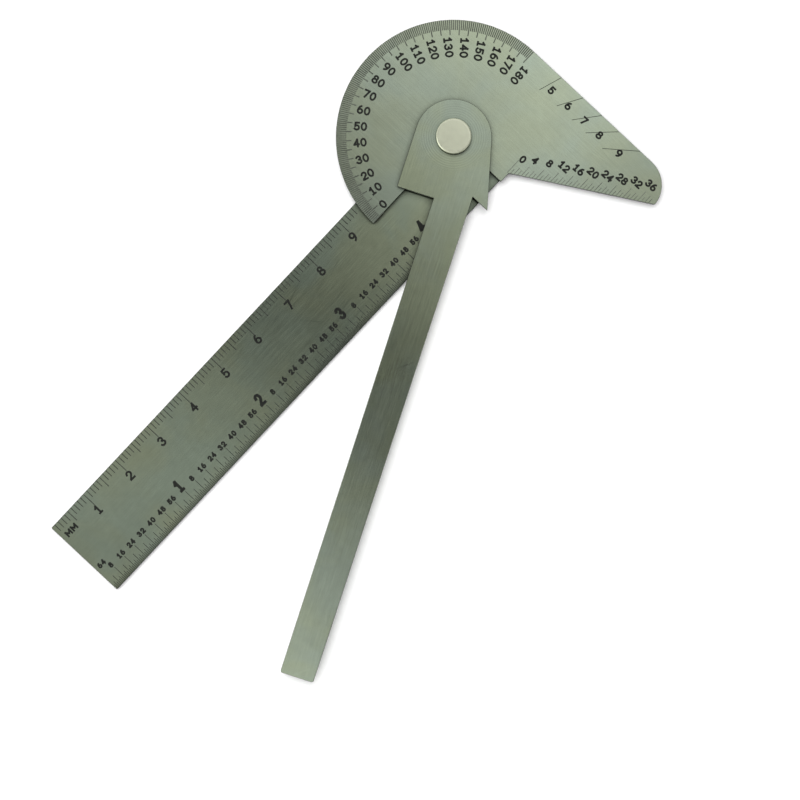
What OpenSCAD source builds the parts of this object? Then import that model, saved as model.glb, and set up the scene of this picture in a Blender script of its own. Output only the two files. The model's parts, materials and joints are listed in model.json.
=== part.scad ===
// Machinist's pocket protractor gauge, in millimetres: a half-round protractor head with a
// drill-point lip, a rule fixed under the head, and a swing arm that turns on a rivet over both.
// The origin is on the pivot axis, level with the underside of the rule. +Y runs along the rule
// towards the head, +X across it towards the lip, and +Z up out of the graduated faces.

/* [Rule] */
// Width of the rule
rule_w = 19.3; // [18:0.05:20]
// Thickness of the rule
rule_t = 1; // [0.8:0.1:1.5]
// Distance from the pivot axis to the free end of the rule
rule_reach = 120; // [115:0.1:140]
// Distance from the pivot axis to the inch edge of the rule
rule_right = 13.5; // [13:0.1:14.5]
// Length of rule held under the head, measured past the pivot axis
rule_tuck = 18; // [14:0.5:20]

/* [Head plate] */
// Radius of the protractor edge
head_r = 25.15; // [24:0.05:27]
// Thickness of the head plate
head_t = 1; // [0.8:0.1:1.5]
// Radius of the ear round the pivot
ear_r = 7; // [6:0.1:7.5]
// Distance from the pivot axis across to the corner where the lip begins
lip_right = 13.9; // [13.5:0.1:15]
// Height of that corner above the pivot axis
lip_start = 2.45; // [1:0.05:4]
// Length of the lip, from its corner to where the nose would meet it in a sharp point
lip_len = 32; // [30:0.05:34]
// Angle between the lip and the rule, half of a 118 degree drill point
lip_angle = 59; // [57:0.5:61]
// Radius of the nose, between the lip and the back of the head
nose_r = 6.7; // [6.2:0.1:7]

/* [Swing arm] */
// Width of the arm's blade next to its head
arm_w = 7.85; // [7:0.05:9]
// Width of the arm's blade at its free end
arm_end_w = 7.4; // [7:0.1:9]
// Thickness of the arm
arm_t = 1; // [0.8:0.1:1.5]
// Distance from the pivot axis to the end of the blade
arm_reach = 120.1; // [115:0.1:140]
// Radius of the arm's round head
arm_head_r = 8.2; // [7.5:0.1:9]
// Distance from the pivot axis down to the square shoulder
shoulder = 13.8; // [11:0.05:18]
// Sideways reach of the hooked tip
tip_x = 11.7; // [11:0.1:13]
// Distance from the pivot axis down to the hooked tip
tip_y = 12.8; // [12:0.1:14]
// Slope of the notch under the hooked tip
tip_slope = 25; // [0:1:35]
// Angle of the arm from the rule as the gauge is laid out
arm_rest_angle = 25.15; // [0:0.05:80]

/* [Pivot] */
// Radius of the rivet's head
rivet_head_r = 3.8; // [3.4:0.1:4.5]
// Height of the rivet's head
rivet_head_t = 1; // [0.7:0.1:1.4]
// Radius of the journal that the arm turns on
journal_r = 2.5; // [2.2:0.1:2.8]
// Radius of the shank through the head plate and the rule
shank_r = 2; // [1.6:0.1:2.1]
// Radius of the clenched tail at the back of the rule
tail_r = 2.8; // [2.4:0.1:3.2]
// Outside radius of the drag washer
washer_r = 6.2; // [5:0.1:6.8]
// Thickness of the drag washer
washer_t = 0.15; // [0.1:0.05:0.3]

/* [Marks] */
// Thickness of the enamel in the marks
ink_t = 0.02; // [0.02:0.01:0.05]
// Width of a degree line
degree_pen = 0.22; // [0.08:0.01:0.3]
// Width of a millimetre line
metric_pen = 0.15; // [0.1:0.01:0.25]
// Width of an inch line and of a lip line
inch_pen = 0.11; // [0.08:0.01:0.15]
// Height of the degree numbers
degree_h = 1.9; // [1.4:0.1:2.2]
// Height of the centimetre numbers
metric_h = 2.2; // [1.6:0.1:2.6]
// Height of the inch numbers
inch_h = 3; // [2:0.1:3.2]
// Height of the numbers that count sixty-fourths
small_h = 1.3; // [0.9:0.1:1.4]

/* [Hidden] */
$fn = 96;

INCH = 25.4;
EPS = 0.01;
RUN = 0.05;         // running clearance of the arm, all round the journal and on both faces
EASE = 0.5;         // radius of the eased corners
TIP_R = 0.5;        // radius that eases the lip into the nose
ROUND_BACK = 0.25;  // the arm's round head is centred this far towards its blade
TAIL_DEPTH = 0.45;  // depth of the countersink that the tail fills
WELD_R = 1.5;       // radius of a weld nugget
WELD_DEPTH = 0.25;  // depth that a nugget reaches into each plate
WELDS = [[-2.5, -14], [5, 13], [10.5, 5.5]];

head_z = rule_t;
washer_z = head_z + head_t;
arm_z = washer_z + washer_t + RUN;
rivet_z = arm_z + arm_t + RUN;

rule_left = rule_right - rule_w;
rule_end = -rule_reach;
function unit(v) = v / norm(v);
lip_dir = [sin(lip_angle), cos(lip_angle)];
lip_corner = [lip_right, lip_start];
lip_tip = lip_corner + lip_len * lip_dir;
nose_centre = [lip_tip.x - nose_r, head_r - nose_r];

// The easing circle touches the lip from above and the nose from inside.
lip_in = [-lip_dir.y, lip_dir.x];
from_nose = lip_tip + TIP_R * lip_in - nose_centre;
inwards = from_nose * lip_dir;
tip_back = inwards - sqrt(inwards ^ 2 - from_nose * from_nose + (nose_r - TIP_R) ^ 2);
tip_centre = lip_tip - tip_back * lip_dir + TIP_R * lip_in;
lip_stop = lip_tip - tip_back * lip_dir;
nose_start = nose_centre + nose_r * unit(tip_centre - nose_centre);

// The flank of the arm leaves the round head where a line to the hooked tip is a tangent.
hook = [tip_x, -tip_y];
round_centre = [0, -ROUND_BACK];
to_hook = hook - round_centre;
flank_at = atan2(to_hook.y, to_hook.x) + acos(arm_head_r / norm(to_hook));
flank = round_centre + arm_head_r * [cos(flank_at), sin(flank_at)];
notch = [arm_w, hook.y + (tip_x - arm_w) * tan(tip_slope)];

// ---- Plates ----

module weld_nuggets(r, z0, z1) {
    for (p = WELDS) translate([p.x, p.y, z0]) cylinder(r = r, h = z1 - z0);
}

module rule_blade() color("darkseagreen") difference() {
    translate([rule_left, rule_end, 0]) cube([rule_w, rule_reach + rule_tuck, rule_t]);
    translate([0, 0, -EPS]) cylinder(r = shank_r, h = rule_t + 2 * EPS);
    translate([0, 0, -EPS])
        cylinder(r1 = tail_r + EPS, r2 = shank_r, h = TAIL_DEPTH + EPS);
    weld_nuggets(WELD_R, rule_t - WELD_DEPTH, rule_t + EPS);
}

module head_outline() {
    intersection() {
        circle(head_r);
        translate([-2 * head_r, -head_r]) square([2 * head_r, 2 * head_r]);
    }
    intersection() {
        translate(nose_centre) circle(nose_r);
        polygon([
            nose_centre, 2 * nose_start - nose_centre, nose_centre + 2 * [nose_r, nose_r],
            nose_centre + [0, 2 * nose_r]
        ]);
    }
    polygon([
        [0, 0], [lip_corner.x, 0], lip_corner, lip_stop, tip_centre,
        [nose_centre.x, head_r], [0, head_r]
    ]);
    translate(tip_centre) circle(TIP_R);
    circle(ear_r);
}

module head_plate() color("darkkhaki") difference() {
    translate([0, 0, head_z]) linear_extrude(head_t) head_outline();
    translate([0, 0, head_z - EPS]) cylinder(r = shank_r, h = head_t + 2 * EPS);
    weld_nuggets(WELD_R, head_z - EPS, head_z + WELD_DEPTH);
}

// The blade's left edge lies on a line through the pivot axis: angles are read there.
module arm_blank() {
    translate(round_centre) cylinder(r = arm_head_r, h = arm_t);
    linear_extrude(arm_t) polygon([
        round_centre, flank, hook, notch, [arm_end_w, EASE - arm_reach],
        [arm_end_w - EASE, -arm_reach], [EASE, -arm_reach], [0, EASE - arm_reach],
        [0, -shoulder], [-arm_head_r, -shoulder], [-arm_head_r, round_centre.y]
    ]);
    for (x = [EASE, arm_end_w - EASE])
        translate([x, EASE - arm_reach, 0]) cylinder(r = EASE, h = arm_t);
}

module swing_arm() color("lightgray") translate([0, 0, arm_z]) rotate(arm_rest_angle)
    difference() {
        arm_blank();
        translate([0, 0, -EPS]) cylinder(r = journal_r + RUN, h = arm_t + 2 * EPS);
    }

// ---- Pivot ----

// The rivet's half section, turned about the pivot axis: tail, shank, journal and head.
module pivot_rivet() color("whitesmoke") rotate_extrude() {
    polygon([
        [0, 0], [tail_r, 0], [shank_r, TAIL_DEPTH], [shank_r, washer_z],
        [journal_r, washer_z], [journal_r, rivet_z], [rivet_head_r, rivet_z],
        [rivet_head_r, rivet_z + rivet_head_t - EASE],
        [rivet_head_r - EASE, rivet_z + rivet_head_t - EASE],
        [rivet_head_r - EASE, rivet_z + rivet_head_t], [0, rivet_z + rivet_head_t]
    ]);
    intersection() {
        translate([rivet_head_r - EASE, rivet_z + rivet_head_t - EASE]) circle(EASE);
        translate([rivet_head_r - EASE, rivet_z + rivet_head_t - EASE]) square(EASE);
    }
}

module drag_washer() color("goldenrod") translate([0, 0, washer_z]) difference() {
    cylinder(r = washer_r, h = washer_t);
    translate([0, 0, -EPS]) cylinder(r = journal_r + RUN, h = washer_t + 2 * EPS);
}

module spot_welds() color("slategray")
    weld_nuggets(WELD_R, rule_t - WELD_DEPTH, head_z + WELD_DEPTH);

// ---- Stroked figures ----
// A glyph is a list of strokes in a cell one wide and one high. A stroke is [closed, points],
// and where a figure turns sharply, two strokes meet.

function bow(c, r, from, to, steps = 8) =
    [for (i = [0:steps]) let (a = from + (to - from) * i / steps)
        [c.x + r.x * cos(a), c.y + r.y * sin(a)]];
function ring(c, r, steps = 16) =
    [for (i = [0:steps - 1]) let (a = 360 * i / steps) [c.x + r.x * cos(a), c.y + r.y * sin(a)]];

GLYPHS = [
    [[true, ring([0.5, 0.5], [0.5, 0.5])]],
    [[false, [[0.52, 1], [0.52, 0]]], [false, [[0.12, 0.76], [0.52, 1]]],
     [false, [[0.2, 0], [0.84, 0]]]],
    [[false, concat(bow([0.5, 0.7], [0.46, 0.3], 170, -35), [[0.05, 0.05]])],
     [false, [[0.03, 0], [1, 0]]]],
    [[false, bow([0.46, 0.76], [0.42, 0.24], 160, -80)],
     [false, bow([0.46, 0.27], [0.5, 0.27], 80, -160)]],
    [[false, [[0.74, 0], [0.74, 1]]], [false, [[0.74, 1], [0.03, 0.32]]],
     [false, [[0, 0.3], [1, 0.3]]]],
    [[false, [[0.92, 1], [0.18, 1], [0.12, 0.5]]],
     [false, bow([0.46, 0.32], [0.5, 0.32], 125, -150)]],
    [[true, ring([0.5, 0.3], [0.48, 0.3])], [false, bow([0.72, 0.3], [0.7, 0.72], 180, 100)]],
    [[false, [[0.02, 1], [0.98, 1]]], [false, [[0.96, 0.98], [0.36, 0]]]],
    [[true, ring([0.5, 0.27], [0.5, 0.27])], [true, ring([0.5, 0.77], [0.4, 0.23])]],
    [[true, ring([0.5, 0.7], [0.48, 0.3])], [false, bow([0.28, 0.7], [0.7, 0.72], 0, -80)]]
];
GLYPH_M = [
    [false, [[0, 0], [0, 1]]], [false, [[0, 1], [0.5, 0.35]]],
    [false, [[0.5, 0.35], [1, 1]]], [false, [[1, 1], [1, 0]]]
];

// The sideways offset of point i of a stroke, mitred between the two runs that meet there.
function mitre(p, i, closed, half) =
    let (n = len(p),
         before = (i > 0 || closed) ? unit(p[i] - p[(i + n - 1) % n]) : unit(p[1] - p[0]),
         after = (i < n - 1 || closed) ? unit(p[(i + 1) % n] - p[i]) : before,
         side = unit([-before.y - after.y, before.x + after.x]))
    half / max(0.5, side * [-after.y, after.x]) * side;
function edge(p, closed, half) =
    [for (i = [0:len(p) - 1]) p[i] + mitre(p, i, closed, half)];
// An open stroke runs on past its end points by half a pen, as a pen's width does.
function lengthened(p, by) =
    let (n = len(p))
    [for (i = [0:n - 1]) p[i] + (i == 0 ? by * unit(p[0] - p[1])
        : i == n - 1 ? by * unit(p[n - 1] - p[n - 2]) : [0, 0])];

module stroke(points, closed, pen) {
    run = closed ? points : lengthened(points, pen / 2 - EPS);
    left = edge(run, closed, pen / 2);
    right = edge(run, closed, -pen / 2);
    n = len(points);
    if (closed)
        difference() {
            polygon(right);
            polygon(left);
        }
    else
        polygon(concat(left, [for (i = [0:n - 1]) right[n - 1 - i]]));
}

module glyph(strokes, size, pen)
    for (s = strokes)
        stroke([for (p = s[1]) [p.x * size.x + pen / 2, p.y * size.y + pen / 2]], s[0], pen);

// The digits of a whole number, most significant first.
function digits(n) = n < 10 ? [n] : concat(digits(floor(n / 10)), [n % 10]);

// A number whose lower left corner is at the origin. Size is one figure's width and height.
module number(n, size, pen, pitch) {
    figures = digits(n);
    for (i = [0:len(figures) - 1])
        translate([i * pitch, 0])
            glyph(GLYPHS[figures[i]], [size.x - pen, size.y - pen], pen);
}

function number_w(n, size, pitch) = (len(digits(n)) - 1) * pitch + size.x;

module centred_number(n, size, pen, pitch)
    translate([-number_w(n, size, pitch) / 2, -size.y / 2]) number(n, size, pen, pitch);

// ---- Marks on the head ----

DEGREE_LINE = 2.2;         // length of a one degree line
DEGREE_LONG = 3.3;         // length of a five degree line
DEGREE_SIZE = [1.4, degree_h];
DEGREE_TEXT_R = 21.45;      // radius where a degree number begins
HEAD_NUMBER_PEN = 0.4;
DEGREE_PITCH = 1.5;
DEGREE_LIFT = 0.3;         // gap between a number and its line
RIM = 0.05;                // bare metal left between a line's end and the plate's edge

module ink_on_head(tint = "black") color(tint)
    translate([0, 0, head_z + head_t]) linear_extrude(ink_t) children();

module degree_lines() ink_on_head()
    for (d = [0:180])
        let (line = d % 5 == 0 ? DEGREE_LONG : DEGREE_LINE)
            rotate(90 - d) translate([RIM - head_r, -degree_pen / 2])
                square([line - RIM, degree_pen]);

module degree_numbers() ink_on_head()
    for (d = [0:10:180])
        rotate(90 - d) translate([-DEGREE_TEXT_R, DEGREE_LIFT])
            number(d, DEGREE_SIZE, HEAD_NUMBER_PEN, DEGREE_PITCH);

// Lines that divide a full circle into five to nine equal parts: the number of parts, the
// line's angle and how far across the number stands. The last line is drawn short of 40 degrees.
DIVIDERS = [[5, 72, 8.5], [6, 60, 13.4], [7, 360 / 7, 18], [8, 45, 22.5], [9, 38.8, 28.2]];
DIVIDER_R = 20;
DIVIDER_PEN = 0.1;
DIVIDER_SIZE = [1.4, 1.8];
DIVIDER_Y = 21.65;         // height of the numbers above the pivot axis

module divider_marks() ink_on_head() {
    for (mark = DIVIDERS) {
        a = mark[1];
        start = DIVIDER_R / sin(a);
        stop = (head_r - RIM) / sin(a);
        rotate(a) translate([start, -DIVIDER_PEN / 2]) square([stop - start, DIVIDER_PEN]);
        translate([mark[2], DIVIDER_Y]) centred_number(mark[0], DIVIDER_SIZE, HEAD_NUMBER_PEN, 0);
    }
}

// The lip counts thirty-seconds of an inch. Its lines stand along the rule, and the first one
// carries on the rule's inch edge.
LIP_COUNT = 39;
LIP_LEAD = 0.54;                   // the first line stands this far before the corner
LIP_LINE = [1.2, 1.8, 2.6, 3.7];   // lengths for 1/32, 1/16, 1/8 and the first line
LIP_SIZE = [1.3, 1.75];
LIP_PITCH = 1.35;
LIP_TEXT_LIFT = 4.5;

function lip_point(i) = lip_corner + (i * INCH / 32 - LIP_LEAD) * lip_dir;
function lip_rank(i) = i == 0 ? 3 : i % 4 == 0 ? 2 : i % 2 == 0 ? 1 : 0;

module lip_lines() ink_on_head()
    for (i = [0:LIP_COUNT])
        translate(lip_point(i) + [i == 0 ? EPS + RIM : 0, 2 * RIM])
            square([inch_pen, LIP_LINE[lip_rank(i)]]);

module lip_numbers() ink_on_head()
    for (i = [0:4:36])
        translate(lip_point(i) + [i == 0 ? LIP_SIZE.x / 2 : 0, LIP_TEXT_LIFT])
            centred_number(i, LIP_SIZE, HEAD_NUMBER_PEN, LIP_PITCH);

// ---- Marks on the rule ----

METRIC_LINE = [1.9, 2.9, 3.4];     // lengths for 1, 5 and 10 mm
METRIC_SIZE = [1.5, metric_h];
METRIC_NUMBER_PEN = 0.42;
METRIC_TEXT_X = 4.6;               // middle of the numbers, from the metric edge
INCH_LINE = [1.2, 1.7, 2.7, 3.7];  // lengths for 1/64, 1/32, 1/16 and 1/8 in
SMALL_SIZE = [0.94, small_h];
SMALL_PEN = 0.34;
SMALL_PITCH = 1.06;
SMALL_TEXT_X = 4.6;               // middle of the small numbers, from the inch edge
INCH_SIZE = [1.7, inch_h];
INCH_NUMBER_PEN = 0.62;
INCH_TEXT_X = 5.5;                // middle of the inch numbers, from the inch edge
UNIT_SIZE = [1.45, 1.45];
UNIT_PEN = 0.38;
UNIT_PITCH = 1.65;
UNIT_AT = [3.46, 2.66];              // middle of the unit mark, from the corner of the rule
SIXTY_FOURTHS_AT = [13.1, 1.78];    // middle of the number that names the inch scale
BACK = 0.2;                        // numbers stand this far before their lines

// The metric lines stop where the head covers them, the inch lines at the last whole inch.
metric_count = floor(rule_reach - sqrt(head_r ^ 2 - rule_left ^ 2)) - 1;
inch_count = 64 * floor(rule_reach / INCH);

function metric_rank(i) = i % 10 == 0 ? 2 : i % 5 == 0 ? 1 : 0;
function inch_rank(i) = i % 8 == 0 ? 3 : i % 4 == 0 ? 2 : i % 2 == 0 ? 1 : 0;

module ink_on_rule() color("black")
    translate([0, 0, rule_t]) linear_extrude(ink_t) children();

// A place x across the rule and y up from its free end, with text that reads along the rule.
module along_rule(x, y) translate([x, rule_end + y]) rotate(90) children();

module metric_lines() ink_on_rule()
    for (i = [1:metric_count])
        translate([rule_left + RIM, rule_end + i - metric_pen / 2])
            square([METRIC_LINE[metric_rank(i)] - RIM, metric_pen]);

module metric_numbers() ink_on_rule() {
    for (i = [1:floor(metric_count / 10)])
        along_rule(rule_left + METRIC_TEXT_X, 10 * i - BACK)
            centred_number(i, METRIC_SIZE, METRIC_NUMBER_PEN, 0);
    for (side = [-1, 1])
        along_rule(rule_left + UNIT_AT.x, UNIT_AT.y + side * UNIT_PITCH / 2)
            translate(-UNIT_SIZE / 2) glyph(GLYPH_M, UNIT_SIZE - [UNIT_PEN, UNIT_PEN], UNIT_PEN);
}

module inch_lines() ink_on_rule()
    for (i = [1:inch_count])
        translate([rule_right - INCH_LINE[inch_rank(i)], rule_end + i * INCH / 64 - inch_pen / 2])
            square([INCH_LINE[inch_rank(i)] - RIM, inch_pen]);

module inch_numbers() ink_on_rule() {
    for (i = [8:8:inch_count])
        if (i % 64 != 0)
            along_rule(rule_right - SMALL_TEXT_X, i * INCH / 64 - BACK)
                centred_number(i % 64, SMALL_SIZE, SMALL_PEN, SMALL_PITCH);
    for (i = [1:floor(inch_count / 64)])
        along_rule(rule_right - INCH_TEXT_X, i * INCH - BACK)
            centred_number(i, INCH_SIZE, INCH_NUMBER_PEN, 0);
    along_rule(rule_left + SIXTY_FOURTHS_AT.x, SIXTY_FOURTHS_AT.y)
        centred_number(64, SMALL_SIZE, SMALL_PEN, SMALL_PITCH);
}

rule_blade();
head_plate();
swing_arm();
pivot_rivet();
drag_washer();
spot_welds();
degree_lines();
degree_numbers();
divider_marks();
lip_lines();
lip_numbers();
metric_lines();
metric_numbers();
inch_lines();
inch_numbers();
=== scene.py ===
"""A machinist's pocket protractor gauge in satin stainless steel, laid flat on a pale table and
seen from straight above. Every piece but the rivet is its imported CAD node, with a procedural
material, and with rounded edges on the plates, the arm and the washer. The rivet is a turned mesh
that stands for its node."""

import json
import math

import bmesh
import bpy
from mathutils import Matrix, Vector


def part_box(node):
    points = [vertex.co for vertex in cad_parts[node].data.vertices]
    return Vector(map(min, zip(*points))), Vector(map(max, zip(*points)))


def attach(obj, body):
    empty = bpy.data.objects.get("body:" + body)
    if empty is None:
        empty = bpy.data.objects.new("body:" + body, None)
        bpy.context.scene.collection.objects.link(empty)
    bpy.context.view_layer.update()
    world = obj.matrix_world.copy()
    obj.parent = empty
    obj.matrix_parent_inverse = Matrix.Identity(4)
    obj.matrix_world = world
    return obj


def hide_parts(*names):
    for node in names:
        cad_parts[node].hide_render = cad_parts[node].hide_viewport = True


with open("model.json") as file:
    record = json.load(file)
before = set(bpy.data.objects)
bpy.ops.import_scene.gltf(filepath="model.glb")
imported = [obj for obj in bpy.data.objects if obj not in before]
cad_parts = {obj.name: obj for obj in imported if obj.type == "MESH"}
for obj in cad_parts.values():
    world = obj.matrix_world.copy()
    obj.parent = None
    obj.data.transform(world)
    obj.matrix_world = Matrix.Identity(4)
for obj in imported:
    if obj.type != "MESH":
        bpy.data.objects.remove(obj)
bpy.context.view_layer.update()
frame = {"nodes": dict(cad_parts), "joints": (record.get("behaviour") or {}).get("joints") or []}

MM = 0.001
SCENE = bpy.context.scene
NODES = frame["nodes"]

# ---- Where things are, from the frame ----

PIVOT = Vector(frame["joints"][0]["pos_m"])
HEAD_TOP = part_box("head_plate")[1].z
ARM_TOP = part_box("swing_arm")[1].z
RIVET_LOW, RIVET_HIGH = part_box("pivot_rivet")
ARM_ANGLE = math.radians(25.15)   # from the rule to the arm, about the pivot, at rest


# ---- Camera ----

VIEW_CENTRE = Vector((30.05 * MM, -48.85 * MM, 2 * MM))
VIEW_TURN = math.radians(43.1)    # the rule runs from the upper right to the lower left
VIEW_WIDTH = 171.1 * MM           # width of the table that the frame takes in
LENS_MM = 85
SENSOR_MM = 36
UP = Vector((-math.sin(VIEW_TURN), math.cos(VIEW_TURN), 0))     # the top of the frame
RIGHT = Vector((math.cos(VIEW_TURN), math.sin(VIEW_TURN), 0))


def make_camera():
    data = bpy.data.cameras.new("camera")
    data.lens = LENS_MM
    data.sensor_width = SENSOR_MM
    data.clip_start = 0.01
    data.clip_end = 20
    camera = bpy.data.objects.new("camera", data)
    camera.location = VIEW_CENTRE + Vector((0, 0, VIEW_WIDTH * LENS_MM / SENSOR_MM))
    camera.rotation_euler = (0, 0, VIEW_TURN)
    SCENE.collection.objects.link(camera)
    SCENE.camera = camera


# ---- Node trees ----

class Nodes:
    """A short way to write a node tree."""

    def __init__(self, tree):
        self.tree = tree

    def add(self, kind, inputs=None, **settings):
        node = self.tree.nodes.new("ShaderNode" + kind)
        for key, value in settings.items():
            setattr(node, key, value)
        for key, value in (inputs or {}).items():
            self.put(node.inputs[key], value)
        return node

    def put(self, socket, value):
        if isinstance(value, bpy.types.NodeSocket):
            self.tree.links.new(value, socket)
        else:
            socket.default_value = value

    def maths(self, operation, *values):
        node = self.add("Math", operation=operation)
        for socket, value in zip(node.inputs, values):
            self.put(socket, value)
        return node.outputs[0]

    def product(self, first, *others):
        for other in others:
            first = self.maths("MULTIPLY", first, other)
        return first

    def part_of(self, vector, axis):
        return self.add("SeparateXYZ", {0: vector}).outputs[axis]

    def dot(self, first, second):
        node = self.add("VectorMath", {0: first, 1: second}, operation="DOT_PRODUCT")
        return node.outputs["Value"]

    def span(self, value, low, high, to_low, to_high, smooth=False):
        """value from low to high carried to to_low to to_high, held at the ends."""
        limits = {"From Min": low, "From Max": high, "To Min": to_low, "To Max": to_high}
        kind = "SMOOTHSTEP" if smooth else "LINEAR"
        node = self.add("MapRange", {"Value": value, **limits}, interpolation_type=kind)
        return node.outputs["Result"]


class Surface(Nodes):
    """A material's node tree, round its one shader."""

    def __init__(self, name):
        self.material = bpy.data.materials.new(name)
        self.material.use_nodes = True
        super().__init__(self.material.node_tree)
        self.shader = self.tree.nodes["Principled BSDF"]

    def fill(self, **values):
        """The shader's sockets set, by names with _ for each space."""
        for name, value in values.items():
            self.put(self.shader.inputs[name.replace("_", " ")], value)
        return self.material

    def blend(self, share, first, second):
        node = self.add("Mix", data_type="RGBA")
        for index, value in ((0, share), (6, first), (7, second)):
            self.put(node.inputs[index], value)
        return node.outputs[2]

    def scaled(self, colour, share):
        node = self.add("VectorMath", {0: colour, "Scale": share}, operation="SCALE")
        return node.outputs[0]

    def place(self, turn=0.0, origin=(0, 0, 0), stretch=(1, 1, 1)):
        """The point on the piece, in metres, moved, turned and stretched."""
        here = self.add("TexCoord").outputs["Object"]
        moved = self.add("VectorMath", {0: here, 1: origin}, operation="SUBTRACT").outputs[0]
        turned = self.add(
            "VectorRotate", {"Vector": moved, "Angle": -turn}, rotation_type="Z_AXIS"
        ).outputs[0]
        return self.add("VectorMath", {0: turned, 1: stretch}, operation="MULTIPLY").outputs[0]

    def noise(self, where, scale, detail=2.0, roughness=0.5, distortion=0.0):
        """A cloudy pattern from 0 to 1, with scale cells to the metre."""
        settings = {"Detail": detail, "Roughness": roughness, "Distortion": distortion}
        node = self.add("TexNoise", {"Vector": where, "Scale": scale, **settings})
        return node.outputs["Fac"]

    def rings(self, pitch):
        """The distance from the pivot's axis, and a wave of it from -1 to 1."""
        flat = self.place(0, PIVOT, (1, 1, 0))
        out = self.add("VectorMath", {0: flat}, operation="LENGTH").outputs["Value"]
        return out, self.maths("SINE", self.maths("MULTIPLY", out, 2 * math.pi / pitch))

    def upward(self):
        """1 on what faces up, 0 on a side wall and -1 on what faces down."""
        return self.part_of(self.add("NewGeometry").outputs["Normal"], "Z")

    def sheared(self, upright, flat):
        """1 on the side walls and 0 on the faces, between two heights of the normal."""
        facing = self.maths("ABSOLUTE", self.upward())
        return self.span(facing, upright, flat, 1, 0, smooth=True)

    def occlusion(self, distance, **inputs):
        node = self.add("AmbientOcclusion", {"Distance": distance, **inputs}, samples=8)
        return node.outputs["AO"]

    def bump(self, height, strength, distance, normal=None):
        node = self.add("Bump", {"Height": height, "Strength": strength, "Distance": distance})
        if normal is not None:
            self.put(node.inputs["Normal"], normal)
        return node.outputs["Normal"]


# ---- Materials ----

WARM = (0.88, 1.0, 0.69)
COOL = (0.83, 1.0, 0.77)
PALE_WARM = (0.88, 1.0, 0.73)
PALE_COOL = (0.85, 1.0, 0.80)
RIVET_TINT = (0.96, 1.0, 0.77)
WASHER_TINT = (1.0, 1.0, 0.95)
WALL_TINT = (0.95, 1, 0.85)
ENAMEL_TINT = (0.9, 1, 0.8)

# How fine each pattern is, in cells to the metre, and how deep it is in the surface.
GRAIN_CELLS, GRAIN_DEPTH = 5200, 0.008 * MM
SCRATCH_DEPTH = 0.008 * MM
CLOUD_CELLS, CLOUD_DEPTH = 48, 0.3 * MM
SPECKLE_CELLS = 700
FILM_CELLS = 60
KNOCK_CELLS, KNOCK_DEPTH = 700, 0.02 * MM
WEAR_CELLS, WEAR_DEPTH = 420, 0.01 * MM
TABLE_CELLS = 9
NOISE = (0.3, 0.7)                        # the range that a noise mostly keeps to

# Scratches: (turn from the grain, share of their length that stays, cells, noise they start at)
SCRATCHES = ((math.radians(17), 0.02, 2600, 0.72), (math.radians(-52), 0.03, 1700, 0.73))
SCRATCH_RAMP = 0.04                       # how soon in the noise a scratch is at its full depth

FILM_SHIFT = Vector((0.013, 0.004, 0))    # keeps the film's pattern apart from the clouds'
CORNER_SHADE_REACH = 2.5 * MM                   # how far from a corner the painted shade reaches
OPEN_SIDE = (UP * 0.70 - RIGHT * 0.25 + Vector((0, 0, 0.75))).normalized()  # the painted shadow falls on the side opposite
# how dark the painted shadow gets below what stands proud
PAINTED_SHADOW_TONE = 0.22
RING_PITCH, RINGS_END, GRAIN_START = 0.5 * MM, 6.6 * MM, 7.6 * MM    # turned rings on the arm
FACED_PITCH, FACED_DEPTH = 0.2 * MM, 0.004 * MM    # tool marks on the rivet's head

# Side walls: the heights of the normal where a wall ends and a face starts, and the wall's grey
# Both wall greys are near black: dull steel, with painted shade along the edges.
SHEARED_WALL, SHEARED_SHADE_GREY = (0.86, 0.99), 0.035
TURNED_WALL, TURNED_SHADE_GREY = (0.15, 0.45), 0.10


def grey(level, tint=(1.0, 1.0, 1.0)):
    return (level * tint[0], level * tint[1], level * tint[2], 1.0)


def scratch_marks(n, turn, drawn, cells, start):
    """1 in the faint scratches that run at turn, drawn out along it, and 0 between them."""
    run = n.place(turn, PIVOT, (1, drawn, 1))
    return n.span(n.noise(run, cells, detail=1), start, start + SCRATCH_RAMP, 0, 1)


def ringed(n, grain):
    """The grain, with turned rings in its place round the pivot."""
    out, wave = n.rings(RING_PITCH)
    near = n.span(out, RINGS_END, GRAIN_START, 1, 0, smooth=True)
    turned = n.span(wave, -1, 1, *NOISE)
    away = n.maths("SUBTRACT", 1.0, near)
    return n.maths("ADD", n.product(grain, away), n.product(turned, near))


def painted_lower_shadow(n, width):
    """Painted shadow: 1 where the sheet is unshaded, and low on the lower side of what stands
    proud of it.
    """
    open_side = n.add("CombineXYZ", dict(zip("XYZ", OPEN_SIDE))).outputs[0]
    open_share = n.occlusion(width, Normal=open_side)
    unshaded = n.span(open_share, 0.20, 0.68, PAINTED_SHADOW_TONE, 1, smooth=True)
    return n.maths("MAXIMUM", unshaded, n.span(n.upward(), -0.9, -0.5, 1, 0))     # no painted shadow on the back


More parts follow.
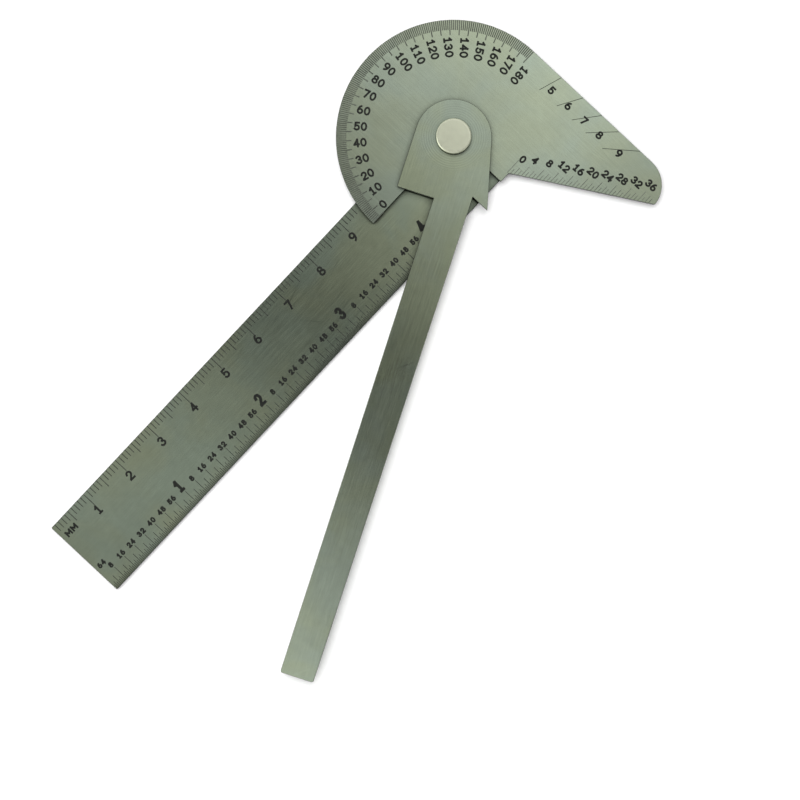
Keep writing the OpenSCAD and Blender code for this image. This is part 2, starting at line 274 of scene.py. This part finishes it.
def satin_steel(name, turn, level, warm, cool, corner_shade=0.35, shadow_width=0.9 * MM, rings=False,
                painted_fades=()):
    """Stainless sheet with a fine grain along the piece, a faint film from warm to cool, faint
    scratches, side walls painted near black (dull sheared steel with painted shade), painted
    shade where it meets another piece, and a painted shadow along the lower side of what stands
    proud of it. With rings, the grain round the pivot is turned, as a lathe leaves it. Each
    painted fade is (axis, unshaded place, shaded place, tone), a painted shade measured from the
    pivot with Y along the piece."""
    n = Surface(name)
    grain = n.noise(n.place(turn, PIVOT, (1, 0.03, 1)), GRAIN_CELLS, detail=3, roughness=0.6)
    if rings:
        grain = ringed(n, grain)
    here = n.place(turn, PIVOT)
    clouds = n.noise(here, CLOUD_CELLS, detail=3, distortion=0.5)
    speckle = n.noise(here, SPECKLE_CELLS)
    film = n.noise(n.place(turn, PIVOT + FILM_SHIFT), FILM_CELLS, detail=3, distortion=0.4)
    runs = [scratch_marks(n, turn + off, *marks) for off, *marks in SCRATCHES]
    scratches = n.maths("MAXIMUM", *runs)
    side = n.sheared(*SHEARED_WALL)

    tone = n.product(
        n.span(clouds, *NOISE, 0.94, 1.06),
        n.span(speckle, 0.25, 0.75, 0.97, 1.03),
        n.span(grain, *NOISE, 0.95, 1.05),
        n.span(scratches, 0, 1, 1, 1.04),
        # painted shade in corners and where one piece meets another
        n.span(n.occlusion(CORNER_SHADE_REACH), 0.30, 0.95, corner_shade, 1, smooth=True),
        # painted shadow on the lower side of what stands proud
        painted_lower_shadow(n, shadow_width),
        # painted fades: painted shade towards one end or edge of the piece
        *[n.span(n.part_of(here, axis), unshaded, shaded, 1, low) for axis, unshaded, shaded, low in painted_fades],
        level,
    )
    colour = n.blend(n.span(film, 0.35, 0.65, 0, 1, smooth=True), warm + (1.0,), cool + (1.0,))

    rough = n.maths("ADD", n.span(clouds, *NOISE, 0.17, 0.14),
                    n.span(grain, 0.2, 0.8, -0.02, 0.02))
    rough = n.maths("SUBTRACT", rough, n.product(scratches, 0.05))
    rough = n.maths("ADD", rough, n.product(side, 0.15))

    normal = n.bump(clouds, 0.10, CLOUD_DEPTH)
    normal = n.bump(grain, 0.25, GRAIN_DEPTH, normal)
    normal = n.bump(scratches, -0.15, SCRATCH_DEPTH, normal)
    return n.fill(
        # side walls painted near black: dull sheared steel and painted shade
        Base_Color=n.blend(side, n.scaled(colour, tone), grey(SHEARED_SHADE_GREY, WALL_TINT)),
        Metallic=1.0, Roughness=rough, Normal=normal,
    )


def turned_steel(name, level, tint):
    """Steel faced off in a lathe, with a few knocks."""
    n = Surface(name)
    wave = n.rings(FACED_PITCH)[1]
    knocks = n.noise(n.place(0, PIVOT), KNOCK_CELLS, detail=3, roughness=0.6)
    colour = n.scaled(grey(level, tint)[:3], n.span(knocks, *NOISE, 0.97, 1.02))
    normal = n.bump(wave, 0.06, FACED_DEPTH)
    normal = n.bump(knocks, 0.05, KNOCK_DEPTH, normal)
    return n.fill(
        # the side wall painted dark: dull turned steel with painted shade
        Base_Color=n.blend(n.sheared(*TURNED_WALL), colour, grey(TURNED_SHADE_GREY, WALL_TINT)),
        Metallic=1.0, Roughness=n.span(knocks, *NOISE, 0.30, 0.40), Normal=normal,
    )


def enamel(name, deep, thin):
    """Black enamel in the etched marks, from deep where it is whole to thin where it is worn."""
    n = Surface(name)
    worn = n.noise(n.place(0, PIVOT), WEAR_CELLS, detail=3, roughness=0.6)
    share = n.span(worn, 0.35, 0.70, 0, 1)
    return n.fill(
        Base_Color=n.blend(share, grey(deep, ENAMEL_TINT), grey(thin, ENAMEL_TINT)),
        Roughness=n.span(worn, *NOISE, 0.5, 0.7), Specular_IOR_Level=0.2,
        Normal=n.bump(worn, 0.2, WEAR_DEPTH),
    )


def table_top(name):
    n = Surface(name)
    soft = n.noise(n.place(), TABLE_CELLS, detail=4)
    colour = n.blend(n.span(soft, *NOISE, 0, 1), grey(0.93), grey(0.96))
    return n.fill(Base_Color=colour, Roughness=0.75)


# ---- Pieces ----

SHARP = math.radians(40)          # edges turned by more than this are rounded
SAME_PLANE = math.radians(0.3)    # faces turned by less than this are joined before rounding
SAME_POINT = 0.001 * MM
LATHE_STEPS = 128
LATHE_SHARP = math.radians(35)


def set_material(piece, material):
    piece.data.materials.clear()
    piece.data.materials.append(material)


def carried_over(node, material, edge=None):
    """A CAD node that stays: its material, and its sharp edges rounded to the radius edge."""
    piece = NODES[node]
    set_material(piece, material)
    if edge:
        weld = piece.modifiers.new("weld", "WELD")
        weld.merge_threshold = SAME_POINT
        join = piece.modifiers.new("flat_faces", "DECIMATE")
        join.decimate_type = "DISSOLVE"
        join.angle_limit = SAME_PLANE
        bevel = piece.modifiers.new("worn_edges", "BEVEL")
        bevel.width = edge
        bevel.segments = 3
        bevel.use_clamp_overlap = False
        bevel.limit_method = "ANGLE"
        bevel.angle_limit = SHARP
        bevel.harden_normals = True


def lathe(name, profile, steps=LATHE_STEPS):
    """A closed turned solid about the pivot's axis. Profile is (radius, height) in metres, from
    the bottom on the axis to the top on the axis."""
    bm = bmesh.new()
    angles = [2 * math.pi * i / steps for i in range(steps)]
    loops = []
    for radius, height in profile:
        if radius == 0:
            loops.append([bm.verts.new((PIVOT.x, PIVOT.y, height))])
            continue
        loops.append([
            bm.verts.new((PIVOT.x + radius * math.cos(a), PIVOT.y + radius * math.sin(a), height))
            for a in angles
        ])
    for low, high in zip(loops, loops[1:]):
        for i in range(steps):
            j = (i + 1) % steps
            corners = [low[i % len(low)], low[j % len(low)],
                       high[j % len(high)], high[i % len(high)]]
            bm.faces.new([v for k, v in enumerate(corners) if v not in corners[:k]])
    bmesh.ops.recalc_face_normals(bm, faces=bm.faces)
    mesh = bpy.data.meshes.new(name)
    bm.to_mesh(mesh)
    bm.free()
    mesh.shade_smooth()
    mesh.set_sharp_from_angle(angle=LATHE_SHARP)
    piece = bpy.data.objects.new(name, mesh)
    SCENE.collection.objects.link(piece)
    return piece


def round_corner(centre, radius, start, stop, steps=8):
    """Points of an arc in the lathe's half plane, as (radius, height)."""
    turn = [math.radians(start + (stop - start) * i / steps) for i in range(steps + 1)]
    return [(centre[0] + radius * math.cos(a), centre[1] + radius * math.sin(a)) for a in turn]


SHANK_R = 2.0 * MM
JOURNAL_R = 2.5 * MM
TAIL_R = 2.8 * MM
TAIL_DEPTH = 0.45 * MM
TAIL_RIM = ((0.1 * MM, 0), (0.02 * MM, 0.08 * MM))    # (in from TAIL_R, up from the tail's face)
HEAD_GAP = 0.05 * MM              # between the arm and the rivet's head
HEAD_LOWER_EDGE = 0.1 * MM
RIVET_EDGE = 0.38 * MM            # radius of the head's upper edge
RIVET_CROWN = 0.03 * MM           # how far the middle of the head stands over its rim
CROWN_STEPS = 12


def make_rivet(material):
    head_r = (RIVET_HIGH.x - RIVET_LOW.x) / 2
    crown_r = head_r - RIVET_EDGE
    under, top = ARM_TOP + HEAD_GAP, RIVET_HIGH.z
    profile = [(0, RIVET_LOW.z)]
    profile += [(TAIL_R - inward, RIVET_LOW.z + up) for inward, up in TAIL_RIM]
    profile += [(SHANK_R, TAIL_DEPTH), (SHANK_R, HEAD_TOP)]
    profile += [(JOURNAL_R, HEAD_TOP), (JOURNAL_R, under)]
    profile += [(head_r - HEAD_LOWER_EDGE, under), (head_r, under + HEAD_LOWER_EDGE)]
    profile += round_corner((crown_r, top - RIVET_CROWN - RIVET_EDGE), RIVET_EDGE, 0, 90)
    for i in range(CROWN_STEPS - 1, -1, -1):
        share = i / CROWN_STEPS
        profile.append((crown_r * share, top - RIVET_CROWN * share ** 2))
    piece = lathe("turned_rivet", profile)
    set_material(piece, material)
    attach(piece, "gauge")
    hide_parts("pivot_rivet")


# ---- Making ----

make_camera()

rule_steel = satin_steel(
    # painted shade in corners, and a painted shadow below what stands proud
    "rule_satin_steel", turn=0, level=0.46, warm=WARM, cool=COOL, corner_shade=0.15,
    shadow_width=1.3 * MM,
    # painted shade: darker towards the rule's far end and along its right edge
    painted_fades=(("Y", -70 * MM, -120 * MM, 0.45), ("X", 12.3 * MM, 13.5 * MM, 0.55)),
)
head_steel = satin_steel(
    "head_satin_steel", turn=math.radians(90), level=0.47, warm=PALE_WARM, cool=PALE_COOL,
    # painted shade: darker towards one end of the head plate
    painted_fades=(("Y", -18 * MM, -40 * MM, 0.70),),
)
arm_steel = satin_steel(
    # painted shade in corners, and a painted shadow below what stands proud
    "arm_satin_steel", turn=ARM_ANGLE, level=0.46, warm=WARM, cool=PALE_COOL, corner_shade=0.6,
    shadow_width=2.0 * MM, rings=True,
)
bright_steel = turned_steel("rivet_bright_steel", level=0.65, tint=RIVET_TINT)
dark_steel = turned_steel("washer_spring_steel", level=0.30, tint=WASHER_TINT)
line_enamel = enamel("worn_enamel", deep=0.045, thin=0.10)
lip_enamel = enamel("faint_enamel", deep=0.08, thin=0.16)
rule_enamel = enamel("rule_enamel", deep=0.018, thin=0.045)
number_enamel = enamel("black_enamel", deep=0.006, thin=0.016)

carried_over("rule_blade", rule_steel, edge=0.12 * MM)
carried_over("head_plate", head_steel, edge=0.10 * MM)
carried_over("swing_arm", arm_steel, edge=0.12 * MM)
carried_over("drag_washer", dark_steel, edge=0.03 * MM)
carried_over("spot_welds", dark_steel)
for scale, lines in (("degree", line_enamel), ("lip", lip_enamel), ("metric", rule_enamel),
                     ("inch", rule_enamel)):
    carried_over(scale + "_lines", lines)
    carried_over(scale + "_numbers", number_enamel)
carried_over("divider_marks", number_enamel)
make_rivet(bright_steel)


# ---- Table and light ----

TABLE_SIZE = 6
OVERHEAD_FROM, OVERHEAD_FULL = math.radians(45), math.radians(20)    # from straight up
WALL_TURN = (-0.6, 0.4)           # where the walls change, along the direction to the lit side
HORIZON_LEVEL, HORIZON_HEIGHTS = 0.96, (0.06, 0.16)


def make_table():
    bpy.ops.mesh.primitive_plane_add(size=TABLE_SIZE, location=(0, 0, 0))
    table = bpy.context.object
    table.name = "table_top"
    set_material(table, table_top("pale_table"))


def softbox(name, where, aim, size, power, mirrored=True):
    """A lamp of size in metres and power in watts, seen in the metal if mirrored."""
    data = bpy.data.lights.new(name, "AREA")
    data.shape = "RECTANGLE"
    data.size, data.size_y = size
    data.energy = power
    lamp = bpy.data.objects.new(name, data)
    lamp.location = where
    lamp.rotation_euler = (aim - where).to_track_quat("-Z", "Y").to_euler()
    lamp.visible_glossy = mirrored
    SCENE.collection.objects.link(lamp)


def studio(level, across, soft, lit, walls):
    """A pale room. Overhead, where the camera stands, a dim gap runs between the lamps: across is
    the level direction over the gap, and the lamps are at full level soft degrees from its
    middle. The walls are dimmer than the lamps, and go from walls[0] on the lit side to walls[1]
    on the far side, with a pale band low down, where the table ends."""
    world = bpy.data.worlds.new("studio")
    SCENE.world = world
    world.use_nodes = True
    n = Nodes(world.node_tree)
    where = n.add("TexCoord").outputs["Generated"]
    height = n.part_of(where, "Z")
    over = n.maths("ABSOLUTE", n.dot(where, across))
    lamps = n.span(over, 0, math.sin(math.radians(soft)), 0, level)
    wall = n.span(n.dot(where, lit), *WALL_TURN, walls[1], walls[0], smooth=True)
    overhead = n.span(height, math.cos(OVERHEAD_FROM), math.cos(OVERHEAD_FULL), 0, 1, smooth=True)
    both = n.add("Mix", {0: overhead, 2: wall, 3: lamps}, data_type="FLOAT").outputs[0]
    horizon = n.span(height, *HORIZON_HEIGHTS, HORIZON_LEVEL, 0, smooth=True)
    background = n.tree.nodes["Background"]
    n.put(background.inputs["Strength"], n.maths("MAXIMUM", both, horizon))
    n.put(background.inputs["Color"], (1, 1, 1, 1))


make_table()
studio(
    level=1.25, across=0.636 * RIGHT + 0.773 * UP, soft=12.5,
    lit=UP * 0.5 - RIGHT * 0.85, walls=(0.9, 0.5),
)
softbox(
    "key", where=VIEW_CENTRE + UP * 0.45 - RIGHT * 0.2 + Vector((0, 0, 1.2)), aim=VIEW_CENTRE,
    size=(1.1, 1.1), power=12, mirrored=False,
)
softbox(
    "side", where=VIEW_CENTRE - UP * 0.35 - RIGHT * 0.8 + Vector((0, 0, 0.35)), aim=PIVOT,
    size=(0.8, 0.45), power=2.0,
)

SCENE.view_settings.view_transform = "Standard"
